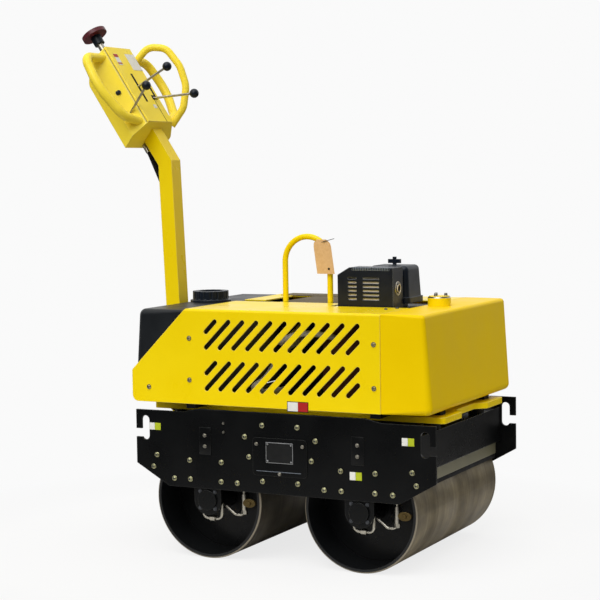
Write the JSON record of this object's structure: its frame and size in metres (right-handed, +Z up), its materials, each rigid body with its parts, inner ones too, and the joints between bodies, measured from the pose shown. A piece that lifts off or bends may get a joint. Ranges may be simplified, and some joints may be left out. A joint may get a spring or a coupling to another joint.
{
  "type": "walk-behind double drum road roller",
  "caption": "Walk-behind road roller with two smooth steel drums in a black frame, louvred yellow hood, lifting eye and a folding drawbar with control console.",
  "frame": {"origin": "on the ground under the middle of the machine's box, drawbar upright", "axes": "+X forward, +Y to the machine's left, +Z up"},
  "size_m": [1.3776, 0.679, 1.6564],
  "materials": {
    "yellow_paint": "gloss paint",
    "yellow_tank": "gloss moulded",
    "black_paint": "gloss paint",
    "black_tank": "moulded",
    "engine_alloy": "cast",
    "black_plastic": "moulded",
    "heat_guard": "heat paint",
    "rubber": "matt",
    "drum_steel": "rolled and worn",
    "zinc": "zinc plated",
    "red_plastic": "moulded"
  },
  "bodies": {
    "chassis": {"side_plate_right": "black_paint", "side_plate_left": "black_paint", "front_crossmember": "black_paint", "rear_crossmember": "black_paint", "front_scraper": "drum_steel", "rear_scraper": "drum_steel", "inspection_cover": "black_paint", "deck_plate": "yellow_paint", "deck_mounts": "rubber", "tank_pads": "rubber", "hood_beams": "black_paint", "hood_posts": "black_paint", "hood_side_right": "yellow_paint", "hood_side_left": "yellow_paint", "hood_cover": "black_paint", "front_tank": "yellow_tank", "filler_neck": "yellow_paint", "rear_tank": "black_tank", "rear_tank_cap": "black_plastic", "engine_block": "engine_alloy", "muffler": "zinc", "muffler_guard": "heat_guard", "air_cleaner": "black_plastic", "hydraulic_tank": "black_paint", "lifting_eye": "yellow_paint", "drawbar_bracket": "black_paint", "pivot_pin": "zinc", "front_carriers": "black_paint", "rear_carriers": "black_paint", "front_motor": "black_paint", "rear_motor": "black_paint", "front_bearing": "black_paint", "rear_bearing": "black_paint", "front_motor_pipe": "zinc", "rear_motor_pipe": "zinc"},
    "front_drum": {"front_drum_shell": "drum_steel", "front_drum_discs": "black_paint", "front_drum_hubs": "black_paint"},
    "rear_drum": {"rear_drum_shell": "drum_steel", "rear_drum_discs": "black_paint", "rear_drum_hubs": "black_paint"},
    "drawbar": {"column": "yellow_paint", "console": "yellow_paint", "control_panel": "yellow_paint", "handlebar_right": "yellow_paint", "handlebar_left": "yellow_paint", "lever_guard": "yellow_paint", "stop_disc": "red_plastic", "stop_stem": "zinc", "lever_rods": "zinc", "lever_knobs": "black_plastic", "control_cables": "rubber"}
  },
  "joints": [
    {"name": "front_drum_roll", "type": "hinge", "parent": "chassis", "child": "front_drum", "pos_m": [0.44479, 0, 0.18], "axis": [0, 1, 0], "continuous": true},
    {"name": "rear_drum_roll", "type": "hinge", "parent": "chassis", "child": "rear_drum", "pos_m": [-0.06121, 0, 0.18], "axis": [0, 1, 0], "continuous": true},
    {"name": "drawbar_fold", "type": "hinge", "parent": "chassis", "child": "drawbar", "pos_m": [-0.33821, 0, 0.43], "axis": [0, -1, 0], "range_deg": [0, 60]}
  ]
}
